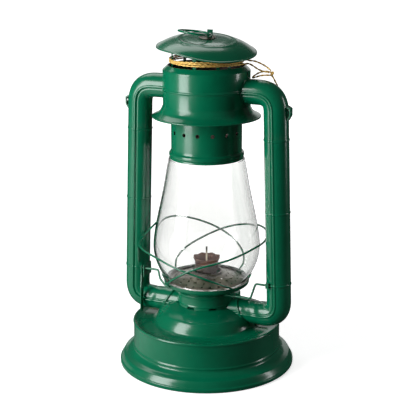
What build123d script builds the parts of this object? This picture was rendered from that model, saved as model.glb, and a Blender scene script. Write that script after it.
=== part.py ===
"""Tubular hurricane lantern: tank, side tubes, burner, globe, guard and canopy, each piece a solid of its own.

Millimetres, +Z up, the origin in the middle of the foot. The side tubes stand at +X and -X, and -Y is
the front. Azimuths are measured from the front towards +X.
"""
from build123d import *
from math import asin, atan2, cos, degrees, radians, sin, sqrt, tan
import os

os.makedirs("parts", exist_ok=True)

# ---- sheet, wire and clearances ----
sheet = 0.8
gap = 0.3
running = 0.05
guard_wire = 1.6
crank_wire = 2.0

# ---- tank and foot ----
foot_flare = 15.5
foot_height = 19.0
foot_lip = 5.0
foot_bead = 11.0
tank_radius = 82.5
tank_top = 48.5
tank_rim = 1.0
dome_foot = 58.0
dome_rise = 11.5
dome_slope_end = 20.5
neck_radius = 10.0
neck_height = 6.0
neck_offset = 70.5
filler_pitch = 3.0

# ---- burner ----
collar_radius = 32.5
collar_top = 84.0
air_slots = 8
air_slot_phase = -9.0
burner_azimuth = 204.0
burner_radius = 11.0
burner_top = 113.0
cone_radius = 15.5
cone_top = 121.0
wick_width = 12.4
wick_thickness = 1.8
wick_top = 132.5
wick_bottom = 40.0
wheel_radius = 3.2
shaft_height = 77.0
shaft_reach = 45.0
knob_radius = 6.0

# ---- side tubes ----
tube_radius = 13.4
tube_foot_x = 87.2
tube_head_x = 79.2
arm_height = 64.7
head_height = 310.5
bend_radius = 24.0
lower_joint = 100.0
upper_joint = 264.0
ring_proud = 0.6
ring_width = 2.4

# ---- hood and canopy ----
hood_radius = 47.0
hood_bottom = 280.3
hood_flare = 59.1
hood_top = 336.5
chimney_radius = 38.5
chimney_bottom = 235.0
chimney_top = 330.0
spring_seat = 290.0
vent_holes = 15
vent_hole_diameter = 4.0
vent_height = 265.4
vent_phase = 33.5
spring_wire = 1.4
spring_turns = 6
cap_radius = 54.0
cap_rise = 13.0
cap_height = 353.0
cap_tilt = 8.0
cap_tilt_azimuth = 48.0
leg_count = 6
leg_width = 3.6
leg_phase = 4.0

# ---- globe and its carrier ----
globe_plate_radius = 47.5
globe_plate_top = 97.0
globe_seat = 96.0
glass = 1.8
globe_top = chimney_bottom - gap
carrier_hole = 16.2
carrier_top = 103.5

# ---- lift crank ----
crank_y = -13.0
crank_z = 102.5
crank_throw_y = -6.0
crank_throw_z = -15.5
lever_x = -74.0
lever_width = 6.6
lever_tip = 51.0

# ---- lift ring ----
lift_ring_radius = 16.6
lift_ring_wire = 2.4
pin_height = 3.2
staple_depth = 3.4


def around(radius, azimuth, height=0.0):
    """A point at a radius and an azimuth from the front."""
    a = radians(azimuth)
    return Vector(radius * sin(a), -radius * cos(a), height)


def radii(points):
    """The largest arc that each corner of a route leaves room for: 0.45 of its shorter run."""
    found = []
    for before, at, after in zip(points, points[1:], points[2:]):
        one, two = Vector(*at) - Vector(*before), Vector(*after) - Vector(*at)
        half_turn = radians(one.get_angle(two)) / 2
        found.append(0.45 * min(one.length, two.length) / tan(half_turn))
    return found


def save(piece, name):
    """Label a finished piece and write it."""
    piece.part.label = name
    export_step(piece.part, f"parts/{name}.step")


def wire(points, diameter, name):
    """A round wire or cord along a route of straight runs and tangent arcs."""
    with BuildPart() as piece:
        with BuildLine() as route:
            FilletPolyline(*points, radius=radii(points))
        with BuildSketch(Plane(origin=route.line @ 0, z_dir=route.line % 0)):
            Circle(diameter / 2)
        sweep(path=route.line)
    save(piece, name)
    return piece


def turned_shell(points, bends, thickness=sheet):
    """A sheet turned about Z: the outer line's corners are rounded by their bends."""
    with BuildPart() as piece:
        with BuildSketch(Plane.XZ):
            with BuildLine():
                FilletPolyline(*points, radius=bends)
                offset(amount=thickness, side=Side.RIGHT, mode=Mode.ADD)
            make_face()
        revolve(axis=Axis.Z)
    return piece


def ring(outer, inner, low, high, name=None):
    """A plain ring about Z, or a disc where its inner radius is 0."""
    with BuildPart() as piece:
        with BuildSketch(Plane.XY.offset(low)):
            Circle(outer)
            if inner:
                Circle(inner, mode=Mode.SUBTRACT)
        extrude(amount=high - low)
    if name:
        save(piece, name)
    return piece


# ---- tank ----
dome_top = tank_top + dome_slope_end
dome_step = (dome_foot - 7, tank_top + dome_rise)

foot_radius = tank_radius + foot_flare
tank_foot = turned_shell([(tank_radius, foot_height), (foot_radius - 5, foot_bead), (foot_radius, foot_lip),
                          (foot_radius, 0), (foot_radius - 3, 0)], [5, 2.5, 1.0])
save(tank_foot, "tank_foot")
ring(tank_radius, tank_radius - sheet, foot_height, tank_top + tank_rim, "tank_body")
ring(tank_radius - sheet, 0, foot_height, foot_height + sheet, "tank_bottom")


def dome_solid(inset):
    """The shoulder and dome filled in, with every wall moved inwards by the inset."""
    edge, step, top = tank_radius - sheet - inset, dome_step[0] - inset, dome_top - inset
    with BuildPart() as piece:
        with BuildSketch(Plane.XZ):
            with BuildLine():
                FilletPolyline((edge, tank_top - inset), (dome_foot - inset, tank_top - inset),
                               (step, dome_step[1] - inset), (collar_radius - inset, top),
                               (0, top), radius=[3.0, 8.0, 1.0])
                Polyline((0, top), (0, tank_top - sheet - inset), (edge, tank_top - sheet - inset),
                         (edge, tank_top - inset))
            make_face()
        revolve(axis=Axis.Z)
    return piece.part


with BuildPart() as tank_dome:
    add(dome_solid(0))
    add(dome_solid(sheet), mode=Mode.SUBTRACT)
    with BuildSketch(Plane.XY.offset(dome_top - 2 * sheet)):
        Rectangle(2 * burner_radius, 2 * burner_radius)
    extrude(amount=3 * sheet, mode=Mode.SUBTRACT)
    with BuildSketch(Plane.XY.offset(tank_top - 2 * sheet)):
        with Locations((0, neck_offset)):
            Circle(neck_radius - sheet)
    extrude(amount=10, mode=Mode.SUBTRACT)
save(tank_dome, "tank_dome")

# ---- filler ----
neck_top = tank_top + neck_height
with BuildPart() as filler_neck:
    with BuildSketch(Plane.XY.offset(tank_top)):
        with Locations((0, neck_offset)):
            Circle(neck_radius)
            Circle(neck_radius - sheet, mode=Mode.SUBTRACT)
    extrude(amount=neck_height)
save(filler_neck, "filler_neck")

with BuildPart() as filler_gasket:
    with BuildSketch(Plane.XY.offset(neck_top + running)):
        with Locations((0, neck_offset)):
            Circle(neck_radius - sheet)
            Circle(neck_radius - 4, mode=Mode.SUBTRACT)
    extrude(amount=2.0)
save(filler_gasket, "filler_gasket")

cap_wall = neck_radius + gap
with BuildPart() as filler_cap:
    with BuildSketch(Plane.XY.offset(tank_top + 2.5)):
        with Locations((0, neck_offset)):
            Circle(cap_wall + 1.2)
    extrude(amount=neck_height + 1.5)
    fillet(filler_cap.edges().group_by(Axis.Z)[-1], 1.0)
    with BuildSketch(Plane.XY.offset(tank_top)):
        with Locations((0, neck_offset)):
            Circle(cap_wall)
    extrude(amount=neck_height + 2.0 + gap, mode=Mode.SUBTRACT)
save(filler_cap, "filler_cap")

# ---- side tubes ----
lean = (tube_foot_x - tube_head_x) / (head_height - arm_height)
lean_angle = degrees(atan2(tube_foot_x - tube_head_x, head_height - arm_height))


def tube_x(height):
    """How far a side tube's middle stands from the axis at a height."""
    return tube_foot_x - lean * (height - arm_height)


def tube_plane(side, height):
    """The plane across a side tube at a height, its normal along the tube."""
    return Plane(origin=(side * tube_x(height), 0, height), x_dir=(0, side, 0),
                 z_dir=(-side * lean, 0, 1))


def tube_elbow(side, inner_x, arm_z, joint_z, outer, inner):
    """An arm, its bend and a short length of side tube, as one hollow or solid piece."""
    corner = (side * (tube_foot_x if arm_z < joint_z else tube_head_x), 0, arm_z)
    with BuildPart() as piece:
        with BuildLine() as path:
            FilletPolyline((side * inner_x, 0, arm_z), corner, (side * tube_x(joint_z), 0, joint_z),
                           radius=bend_radius)
        with BuildSketch(Plane(origin=path.line @ 0, z_dir=path.line % 0)):
            Circle(outer)
            if inner:
                Circle(inner, mode=Mode.SUBTRACT)
        sweep(path=path.line)
    return piece.part


def straight_tube(side, low, high, outer, inner):
    """A straight length of side tube between two heights."""
    with BuildPart() as piece:
        with BuildSketch(tube_plane(side, low)):
            Circle(outer)
            if inner:
                Circle(inner, mode=Mode.SUBTRACT)
        extrude(amount=(high - low) * sqrt(1 + lean * lean))
    return piece.part


tube_bore = tube_radius - sheet
hood_core = ring(hood_radius, 0, hood_bottom, hood_top).part
dome_core = dome_solid(0)
collar_core = ring(collar_radius, 0, tank_top, collar_top + 2).part
crank_way = Plane(origin=(-100, crank_y, crank_z), z_dir=(1, 0, 0))

for side, hand in ((-1, "left"), (1, "right")):
    with BuildPart() as lower_elbow:
        add(tube_elbow(side, collar_radius - 10, arm_height, lower_joint, tube_radius, tube_bore))
        add(dome_core, mode=Mode.SUBTRACT)
        add(collar_core, mode=Mode.SUBTRACT)
    save(lower_elbow, f"lower_elbow_{hand}")

    with BuildPart() as side_tube:
        add(straight_tube(side, lower_joint, upper_joint, tube_radius, tube_bore))
        if side > 0:
            with BuildSketch(crank_way):
                Circle(crank_wire / 2 + gap)
            extrude(amount=200, mode=Mode.SUBTRACT)
    save(side_tube, f"side_tube_{hand}")

    with BuildPart() as upper_elbow:
        add(tube_elbow(side, hood_radius - 10, head_height, upper_joint, tube_radius, tube_bore))
        add(hood_core, mode=Mode.SUBTRACT)
    save(upper_elbow, f"upper_elbow_{hand}")

    middle = (lower_joint + upper_joint) / 2
    with BuildPart() as tube_rings:
        for height in (lower_joint + 1.2, middle, upper_joint - ring_width - 1.2):
            add(straight_tube(side, height, height + ring_width, tube_radius + ring_proud, tube_radius))
        if side > 0:
            with BuildSketch(crank_way):
                Circle(crank_wire / 2 + gap)
            extrude(amount=200, mode=Mode.SUBTRACT)
    save(tube_rings, f"tube_rings_{hand}")

# ---- bail ears ----
ear_low, ear_high, ear_hole = 283.0, 300.0, 292.0
ear_stand = 3.2
ear_hole_radius = 1.7
for side, hand in ((-1, "left"), (1, "right")):
    with BuildPart() as bail_ear:
        foot_x = tube_x(ear_low) + tube_radius
        with BuildSketch(Plane.XZ.offset(-4)):
            with BuildLine():
                Polyline((side * (foot_x - 4), ear_low), (side * (foot_x + 0.4), ear_low),
                         (side * (foot_x + ear_stand), ear_hole - 4), (side * (foot_x + ear_stand), ear_hole + 4),
                         (side * (foot_x - 12), ear_high + 4), (side * (foot_x - 12), ear_high + 2.5),
                         (side * (foot_x + ear_stand - 1.2), ear_hole + 3),
                         (side * (foot_x + ear_stand - 1.2), ear_hole - 4),
                         (side * (foot_x - 0.8), ear_low + 1.2), (side * (foot_x - 4), ear_low + 1.2), close=True)
            make_face()
        extrude(amount=8)
        add(tube_elbow(side, hood_radius - 10, head_height, upper_joint, tube_radius, 0), mode=Mode.SUBTRACT)
        with BuildSketch(Plane.YZ.offset(side * foot_x)):
            with Locations((0, ear_hole)):
                Circle(ear_hole_radius)
        extrude(amount=side * 10, both=False, mode=Mode.SUBTRACT)
    save(bail_ear, f"bail_ear_{hand}")

# ---- burner ----
wheel_offset = wick_thickness / 2 + wheel_radius
shaft_start = (around(wheel_offset + running, burner_azimuth + 90, shaft_height)
               - around(wick_width / 2, burner_azimuth))
shaft_plane = Plane(origin=shaft_start, x_dir=(0, 0, 1), z_dir=around(1, burner_azimuth))
with BuildPart() as burner_collar:
    with BuildSketch(Plane.XY.offset(dome_top)):
        Circle(collar_radius)
        Circle(collar_radius - sheet, mode=Mode.SUBTRACT)
    extrude(amount=collar_top - dome_top)
    for side in (-1, 1):
        add(tube_elbow(side, collar_radius - 10, arm_height, lower_joint, tube_bore, 0), mode=Mode.SUBTRACT)
    with BuildSketch(shaft_plane):
        Circle(1.5 + gap)
    extrude(amount=2 * collar_radius, mode=Mode.SUBTRACT)
    with BuildSketch(Plane.XY.offset(dome_top)):
        with PolarLocations(collar_radius, air_slots, start_angle=air_slot_phase):
            Rectangle(4, 9)
    extrude(amount=1.8, mode=Mode.SUBTRACT)
save(burner_collar, "burner_collar")

with BuildPart() as burner_plate:
    with BuildSketch(Plane.XY.offset(collar_top)):
        Circle(collar_radius)
        Circle(burner_radius - sheet, mode=Mode.SUBTRACT)
        with PolarLocations((collar_radius + burner_radius) / 2, 12):
            Circle(2.5, mode=Mode.SUBTRACT)
    extrude(amount=sheet)
save(burner_plate, "burner_plate")

with BuildPart() as burner_body:
    with BuildSketch(Plane.XY.offset(collar_top + sheet)):
        Circle(burner_radius)
        Circle(burner_radius - sheet, mode=Mode.SUBTRACT)
    extrude(amount=burner_top - collar_top - sheet)
    with BuildSketch(Plane.XY.offset(burner_top - 18)):
        with PolarLocations(burner_radius, 8):
            Rectangle(3, 3)
    extrude(amount=6, mode=Mode.SUBTRACT)
save(burner_body, "burner_body")

tube_wide, tube_thick = wick_width + 2 * gap + 2 * sheet, wick_thickness + 2 * gap + 2 * sheet
wick_turn = burner_azimuth - 90
with BuildPart() as burner_cone:
    with BuildSketch(Plane.XZ):
        with BuildLine():
            FilletPolyline((cone_radius, cone_top), (burner_radius, burner_top), (burner_radius - 4, burner_top),
                           radius=1.5)
            offset(amount=sheet, side=Side.RIGHT, mode=Mode.ADD)
        make_face()
    revolve(axis=Axis.Z)
    with BuildSketch(Plane.XY.offset(burner_top - sheet)):
        Circle(burner_radius - 3)
        Rectangle(tube_wide, tube_thick, rotation=wick_turn, mode=Mode.SUBTRACT)
    extrude(amount=sheet)
    with BuildSketch(Plane.XY.offset(burner_top - 2 * sheet)):
        Rectangle(tube_wide, tube_thick, rotation=wick_turn)
    extrude(amount=4, mode=Mode.SUBTRACT)
save(burner_cone, "burner_cone")

with BuildPart() as wick_tube:
    with BuildSketch(Plane.XY.offset(shaft_height - 16)):
        Rectangle(tube_wide, tube_thick, rotation=wick_turn)
        Rectangle(tube_wide - 2 * sheet, tube_thick - 2 * sheet, rotation=wick_turn, mode=Mode.SUBTRACT)
    extrude(amount=burner_top + 2 - shaft_height + 16)
    with BuildSketch(Plane.XY.offset(shaft_height - wheel_radius - 1)):
        with Locations(around(tube_thick / 2, burner_azimuth + 90)):
            Rectangle(wick_width - 2, tube_thick, rotation=wick_turn)
    extrude(amount=2 * wheel_radius + 2, mode=Mode.SUBTRACT)
save(wick_tube, "wick_tube")

with BuildPart() as wick:
    with BuildSketch(Plane.XY.offset(wick_bottom)):
        Rectangle(wick_width, wick_thickness, rotation=wick_turn)
    extrude(amount=wick_top - wick_bottom)
save(wick, "wick")

with BuildPart() as wick_shaft:
    with BuildSketch(shaft_plane):
        Circle(1.5)
    extrude(amount=shaft_reach + wick_width / 2)
save(wick_shaft, "wick_shaft")
with BuildPart() as wick_wheels:
    for start in (2.0, wick_width - 3.5):
        with BuildSketch(shaft_plane.offset(start)):
            Circle(wheel_radius)
            with PolarLocations(wheel_radius, 12):
                Circle(0.45, mode=Mode.SUBTRACT)
            Circle(1.5, mode=Mode.SUBTRACT)
        extrude(amount=1.5)
save(wick_wheels, "wick_wheels")
with BuildPart() as wick_knob:
    with BuildSketch(shaft_plane.offset(shaft_reach + wick_width / 2 - 4)):
        Circle(knob_radius)
        with PolarLocations(knob_radius + 0.5, 18):
            Circle(1.0, mode=Mode.SUBTRACT)
        Circle(1.5, mode=Mode.SUBTRACT)
    extrude(amount=4)
save(wick_knob, "wick_knob")

# ---- hood ----
hood_shell = turned_shell([(hood_radius - 3, hood_top), (hood_radius - 0.4, hood_top - 2),
                           (hood_radius, hood_bottom + 11), (hood_radius + 3, hood_bottom + 6),
                           (hood_flare, hood_bottom + 1), (hood_flare, hood_bottom)], [1.5, 6, 6, 0.6])
with BuildPart() as hood:
    add(hood_shell.part)
    for side in (-1, 1):
        add(tube_elbow(side, hood_radius - 10, head_height, upper_joint, tube_bore, 0), mode=Mode.SUBTRACT)
save(hood, "hood")
guide_height = chimney_top - 1
ring(hood_radius - 2 * sheet, chimney_radius + 2 * gap, guide_height - sheet, guide_height, "hood_guide_ring")

# ---- chimney, legs and cap: they lift together ----
chimney_shell = turned_shell([(chimney_radius, chimney_top), (chimney_radius, chimney_bottom + 8.5),
                              (chimney_radius + 2.4, chimney_bottom + 6.5),
                              (chimney_radius + 2.4, chimney_bottom + 3.5),
                              (chimney_radius + 1.6, chimney_bottom)], [1.5, 1.5, 1.5])
with BuildPart() as chimney:
    add(chimney_shell.part)
    with BuildSketch(Plane.XY.offset(spring_seat)):
        Circle(chimney_radius + 5)
        Circle(chimney_radius - sheet / 2, mode=Mode.SUBTRACT)
    extrude(amount=sheet)
    for hole in range(vent_holes):
        azimuth = vent_phase + hole * 360 / vent_holes
        with BuildSketch(Plane(origin=(0, 0, vent_height), x_dir=(0, 0, 1), z_dir=around(1, azimuth))):
            Circle(vent_hole_diameter / 2)
        extrude(amount=2 * chimney_radius, mode=Mode.SUBTRACT)
save(chimney, "perforated_chimney")

spring_low, spring_high = spring_seat + sheet, guide_height - sheet
spring_radius = chimney_radius + 3
with BuildPart() as canopy_spring:
    with BuildLine() as coil:
        Helix(pitch=(spring_high - spring_low - 2 * spring_wire) / spring_turns,
              height=spring_high - spring_low - 2 * spring_wire, radius=spring_radius,
              center=(0, 0, spring_low + spring_wire))
    with BuildSketch(Plane(origin=coil.line @ 0, z_dir=coil.line % 0)):
        Circle(spring_wire / 2)
    sweep(path=coil.line, is_frenet=True)
save(canopy_spring, "canopy_spring")

cap_up = Vector(0, 0, 1).rotate(Axis((0, 0, 0), around(1, cap_tilt_azimuth - 90)), -cap_tilt)
cap_middle = Vector(0, 0, cap_height)
cap_place = Location(Plane(origin=cap_middle, x_dir=around(1, cap_tilt_azimuth - 90), z_dir=cap_up))


def cap_solid(drop, inset, depth):
    """The cap as one filled dome, lowered along its own axis, narrowed at its rim and carried down."""
    rim = cap_radius - inset
    sphere = (rim ** 2 + cap_rise ** 2) / (2 * cap_rise)
    half = degrees(asin(rim / sphere))
    with BuildPart() as piece:
        with BuildSketch(Plane.XZ):
            with BuildLine():
                Polyline((0, cap_rise - drop), (0, -depth), (rim, -depth), (rim, -drop))
                CenterArc((0, cap_rise - drop - sphere), sphere, 90 - half, half)
            make_face()
        revolve(axis=Axis.Z)
    return cap_place * piece.part


with BuildPart() as cap:
    add(cap_solid(0, 0, 1.6))
    add(cap_solid(sheet, sheet, 20), mode=Mode.SUBTRACT)
save(cap, "cap")

with BuildPart() as cap_legs:
    for leg in range(leg_count):
        azimuth = leg_phase + leg * 360 / leg_count
        with BuildSketch(Plane.XY.offset(chimney_top - 12)):
            with Locations(Location(around(chimney_radius - sheet - 0.5, azimuth), (0, 0, 1), azimuth)):
                Rectangle(leg_width, 1.0)
        extrude(amount=cap_height + cap_rise - chimney_top + 12)
    add(ring(chimney_radius - sheet, 0, 0, 400).part, mode=Mode.INTERSECT)
    add(cap_solid(sheet, sheet + 1, 60), mode=Mode.INTERSECT)
save(cap_legs, "cap_legs")

# ---- lift ring and its staple ----
ring_turn = 24.0
staple_foot = cap_middle + cap_up * (cap_rise - 0.4)
ring_along = Vector(cos(radians(ring_turn)), sin(radians(ring_turn)), -0.13).normalized()
ring_back = Vector(-sin(radians(ring_turn)), cos(radians(ring_turn)), -0.02).normalized()
ring_pin = staple_foot + cap_up * pin_height + ring_along * 2.6
ring_up = ring_along.cross(ring_back).normalized()
ring_middle = ring_pin - ring_along * lift_ring_radius
with BuildPart() as lift_ring:
    with BuildSketch(Plane(origin=ring_middle + ring_along * lift_ring_radius, x_dir=ring_along, z_dir=ring_back)):
        Circle(lift_ring_wire / 2)
    revolve(axis=Axis(ring_middle, ring_up))
save(lift_ring, "lift_ring")
staple_eye = lift_ring_wire + 4 * gap
with BuildPart() as ring_staple:
    with BuildSketch(Plane(origin=ring_pin - ring_back * staple_depth / 2,
                           x_dir=ring_back.cross(cap_up).normalized(), z_dir=ring_back)):
        Circle(staple_eye / 2 + 1.2)
        with Locations((0, -pin_height / 2 - 1)):
            Rectangle(staple_eye + 2.4, pin_height + 2)
        Circle(staple_eye / 2, mode=Mode.SUBTRACT)
    extrude(amount=staple_depth)
    add(cap_solid(0, 0, 60), mode=Mode.SUBTRACT)
save(ring_staple, "ring_staple")

# ---- globe and its carrier ----
plate_foot = collar_top + sheet + gap
globe_plate_shell = turned_shell([(globe_plate_radius, globe_plate_top), (globe_plate_radius, globe_plate_top - 4),
                                  (collar_radius + 5, plate_foot + 1.5), (collar_radius + 1, plate_foot)],
                                 [2, 3])
notch_height = crank_z + crank_throw_z + crank_wire / 2 + gap
with BuildPart() as globe_plate:
    add(globe_plate_shell.part)
    with BuildSketch(Plane.XY.offset(plate_foot - 1)):
        with Locations((0, crank_y + crank_throw_y - 5)):
            Rectangle(2 * globe_plate_radius, 14.0)
    extrude(amount=notch_height - plate_foot + 1, mode=Mode.SUBTRACT)
save(globe_plate, "globe_plate")

with BuildPart() as draught_plate:
    with BuildSketch(Plane.XZ):
        with BuildLine():
            FilletPolyline((carrier_hole, carrier_top), (carrier_hole + 4, carrier_top), (globe_plate_radius - 8, globe_seat),
                           (globe_plate_radius - sheet, globe_seat), radius=[1.5, 4])
            offset(amount=sheet, side=Side.RIGHT, mode=Mode.ADD)
        make_face()
    revolve(axis=Axis.Z)
    for row, count in ((24.0, 16), (29.5, 20), (35.0, 24)):
        with BuildSketch(Plane.XY.offset(90)):
            with PolarLocations(row, count):
                Circle(1.2)
        extrude(amount=25, mode=Mode.SUBTRACT)
save(draught_plate, "draught_plate")
ring(carrier_hole + 1.4, carrier_hole, carrier_top, carrier_top + 2.5, "draught_collar")

globe_points = [(43.2, globe_seat), (52.7, 110), (58.2, 127), (58.9, 138.5), (53.3, 173), (46.1, 207),
                (43.1, 226), (41.2, globe_top)]
with BuildPart() as globe:
    with BuildSketch(Plane.XZ):
        with BuildLine():
            Spline(*globe_points)
            Line(globe_points[-1], (globe_points[-1][0] - glass, globe_top))
            Spline(*[(r - glass, z) for r, z in reversed(globe_points)])
            Line((globe_points[0][0] - glass, globe_seat), globe_points[0])
        make_face()
    revolve(axis=Axis.Z)
save(globe, "globe")

# the guard: two wires that cross in front of the globe and behind it
guard_root = globe_plate_radius + guard_wire / 2
left_high = [around(guard_root, 62, 95), around(53.5, 54, 100.5), around(58.5, 40, 107), around(60.8, 25, 114.5),
             around(60.8, 11, 119.5), around(60.8, -3, 123), around(60.8, -17, 126),
             around(61.5, -32, 129), around(66.5, -46, 131.5), around(73, -60, 133), around(77.5, -73, 134.5),
             around(73.0, -80.5, 140), around(68.6, -87, 146.5), around(64.0, -94, 153), around(62.0, -104, 157),
             around(60.8, -118, 156), around(60.8, -132, 152.5), around(60.8, -146, 148), around(60.8, -160, 142.5),
             around(60.8, -174, 136), around(60.8, 172, 127.5), around(60.8, 160, 117), around(57.5, 151, 106),
             around(52.5, 150, 99), around(guard_root, 152, 95)]
right_high = [around(guard_root, -34, 95), around(54.0, -29, 99), around(60.5, -21, 105), around(62.8, -9, 114),
              around(62.8, 5, 123.5), around(62.8, 19, 129.5), around(62.8, 33, 133), around(62.8, 47, 136),
              around(63.0, 61, 139.5), around(64.5, 74, 143), around(68.0, 84, 146), around(69.2, 92, 148),
              around(68.6, 102, 151), around(66.5, 114, 153), around(63.8, 128, 152.5), around(62.8, 143, 150.5),
              around(62.8, 157, 147.5), around(62.8, 171, 143.5), around(62.8, -175, 138), around(62.8, -161, 131),
              around(62.8, -147, 123), around(62.8, -134, 116), around(60.0, -122, 108.5),
              around(54.5, -112, 101), around(guard_root, -107, 95)]
wire(left_high, guard_wire, "guard_left")
wire(right_high, guard_wire, "guard_right")

# ---- lift crank ----
throw_y, throw_z = crank_y + crank_throw_y, crank_z + crank_throw_z
wire([(lever_x - 1.5, crank_y, crank_z), (-54, crank_y, crank_z), (-50, crank_y - 3.5, crank_z - 9),
      (-42, throw_y, throw_z), (60.5, throw_y, throw_z), (64, crank_y, crank_z), (86, crank_y, crank_z)],
     crank_wire, "lift_crank")

with BuildPart() as lift_lever:
    with BuildSketch(Plane.YZ.offset(lever_x)):
        with BuildLine():
            Polyline((crank_y - 3.3, crank_z + 3.5), (crank_y + 3.3, crank_z + 3.5), (crank_y + 3.3, crank_z - 6),
                     (crank_y - 0.9, crank_z - 22), (crank_y - 0.9, lever_tip), (crank_y - 7.5, lever_tip),
                     (crank_y - 7.5, crank_z - 22), (crank_y - 3.3, crank_z - 6), close=True)
        make_face()
        with Locations((crank_y, crank_z)):
            Circle(crank_wire / 2, mode=Mode.SUBTRACT)
    extrude(amount=1.2)
save(lift_lever, "lift_lever")

with BuildPart() as lever_guide:
    with BuildSketch(Plane.YZ.offset(lever_x - 4.5)):
        with Locations((crank_y - 0.5, crank_z + 15)):
            Rectangle(5, 18)
    extrude(amount=1.0)
    with BuildSketch(Plane.YZ.offset(lever_x - 4.5)):
        with Locations((crank_y + 2, crank_z + 10)):
            Rectangle(9, 8)
    extrude(amount=1.0)
    add(straight_tube(-1, lower_joint, upper_joint, tube_radius + ring_proud, 0), mode=Mode.SUBTRACT)
save(lever_guide, "lever_guide")

with BuildPart() as crank_bracket:
    with BuildSketch(Plane.YZ.offset(lever_x + 2.4)):
        with Locations((crank_y + 6.0, crank_z - 3)):
            Rectangle(18, 14)
    extrude(amount=1.0)
    with BuildSketch(Plane.YZ.offset(lever_x - 6)):
        with Locations((crank_y + 13, crank_z - 3)):
            Rectangle(5, 14)
    extrude(amount=9.4)
    add(straight_tube(-1, lower_joint - 20, upper_joint, tube_radius + ring_proud, 0), mode=Mode.SUBTRACT)
    with BuildSketch(crank_way):
        Circle(crank_wire / 2 + running)
    extrude(amount=50, mode=Mode.SUBTRACT)
save(crank_bracket, "crank_bracket")

with BuildPart() as crank_bearing:
    with BuildSketch(Plane.YZ.offset(76.5)):
        with Locations((crank_y + 1.5, crank_z)):
            Rectangle(9, 5.6)
    extrude(amount=3.5)
    add(straight_tube(1, lower_joint - 20, upper_joint, tube_radius + ring_proud, 0), mode=Mode.SUBTRACT)
    with BuildSketch(crank_way):
        Circle(crank_wire / 2 + running)
    extrude(amount=200, mode=Mode.SUBTRACT)
save(crank_bearing, "crank_bearing")

# ---- tie string round the cap's legs ----
string_diameter = 1.8
string_height = 341.0
coil_inner = chimney_radius - sheet + running
coil_outer = coil_inner + 2 * string_diameter
ring(coil_outer, coil_inner, string_height - 2, string_height + 2, "string_coil")
knot_radius = 3.0
knot_place = Vector(71.5, 8.0, 330.0)
with BuildPart() as string_knot:
    with Locations(knot_place):
        Sphere(knot_radius)
save(string_knot, "string_knot")

strand_over = [(40.7, 7.0, 341.2), (46.5, 7.4, 341.9), (53.0, 8.8, 341.4), (59.0, 8.0, 339.6),
               (64.2, 8.9, 336.9), (68.2, 8.1, 334.4), (70.3, 8.0, 332.8)]
strand_under = [(41.0, 5.0, 339.8), (46.8, 5.5, 338.9), (52.0, 6.8, 336.0), (57.0, 6.1, 333.3),
                (62.4, 6.3, 331.8), (68.8, 6.7, 330.8)]
bow_loop = [(69.2, 9.9, 330.9), (64.4, 10.2, 331.6), (58.8, 10.8, 330.6), (53.6, 10.4, 328.2),
            (50.0, 9.9, 325.4), (49.9, 6.3, 324.2), (53.4, 5.7, 325.0), (58.6, 6.4, 326.9),
            (63.8, 6.1, 327.9), (69.4, 7.2, 328.0)]
tail = [(71.4, 9.4, 327.3), (73.0, 10.4, 323.6), (75.0, 11.4, 319.4), (76.4, 13.2, 315.2), (77.3, 14.6, 310.8)]
for route, name in ((strand_over, "string_strand_over"), (strand_under, "string_strand_under"),
                    (bow_loop, "string_bow"), (tail, "string_tail")):
    cord = wire(route, string_diameter, name)
    print(name, "radii", [round(r, 1) for r in radii(route)], "volume", round(cord.part.volume, 1))
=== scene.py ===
from math import cos, exp, pi, radians, sin, sqrt, tan

import bpy
import bmesh
import numpy as np
from mathutils import Matrix, Vector


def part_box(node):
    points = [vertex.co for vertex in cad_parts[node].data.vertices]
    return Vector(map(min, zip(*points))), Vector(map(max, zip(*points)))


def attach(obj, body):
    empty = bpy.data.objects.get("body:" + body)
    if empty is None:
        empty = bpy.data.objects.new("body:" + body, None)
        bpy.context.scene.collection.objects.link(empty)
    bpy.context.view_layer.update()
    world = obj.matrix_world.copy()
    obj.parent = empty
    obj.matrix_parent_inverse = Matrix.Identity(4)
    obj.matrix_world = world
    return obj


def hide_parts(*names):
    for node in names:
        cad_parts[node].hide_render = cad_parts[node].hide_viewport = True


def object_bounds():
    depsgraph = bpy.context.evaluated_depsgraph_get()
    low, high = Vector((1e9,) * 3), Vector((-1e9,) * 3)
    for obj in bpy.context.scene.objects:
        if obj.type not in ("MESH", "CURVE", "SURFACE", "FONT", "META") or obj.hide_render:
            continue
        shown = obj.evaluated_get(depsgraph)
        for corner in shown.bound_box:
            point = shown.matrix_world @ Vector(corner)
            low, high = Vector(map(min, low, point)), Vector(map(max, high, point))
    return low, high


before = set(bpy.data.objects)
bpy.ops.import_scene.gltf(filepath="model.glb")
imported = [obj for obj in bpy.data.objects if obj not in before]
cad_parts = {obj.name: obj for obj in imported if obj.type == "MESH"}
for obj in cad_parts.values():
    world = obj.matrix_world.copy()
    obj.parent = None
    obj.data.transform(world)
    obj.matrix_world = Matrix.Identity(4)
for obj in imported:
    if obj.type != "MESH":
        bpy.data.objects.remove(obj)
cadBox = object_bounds()
mm = 0.001

# the camera stands to the right of the front and looks a little down
cameraView = {"azimuth": 24.0, "distance": 1.188, "height": 0.506, "pitch": 15.45, "pan": 0.074,
              "focal": 96.75}

bpy.context.scene.view_settings.view_transform = "Standard"


def around(radius, azimuth, height=0.0):
    a = radians(azimuth)
    return Vector((radius * sin(a), -radius * cos(a), height)) * mm


# how far one angle is from an azimuth, the short way round
def turnFrom(a, azimuth):
    return (a - radians(azimuth) + pi) % (2 * pi) - pi


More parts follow.
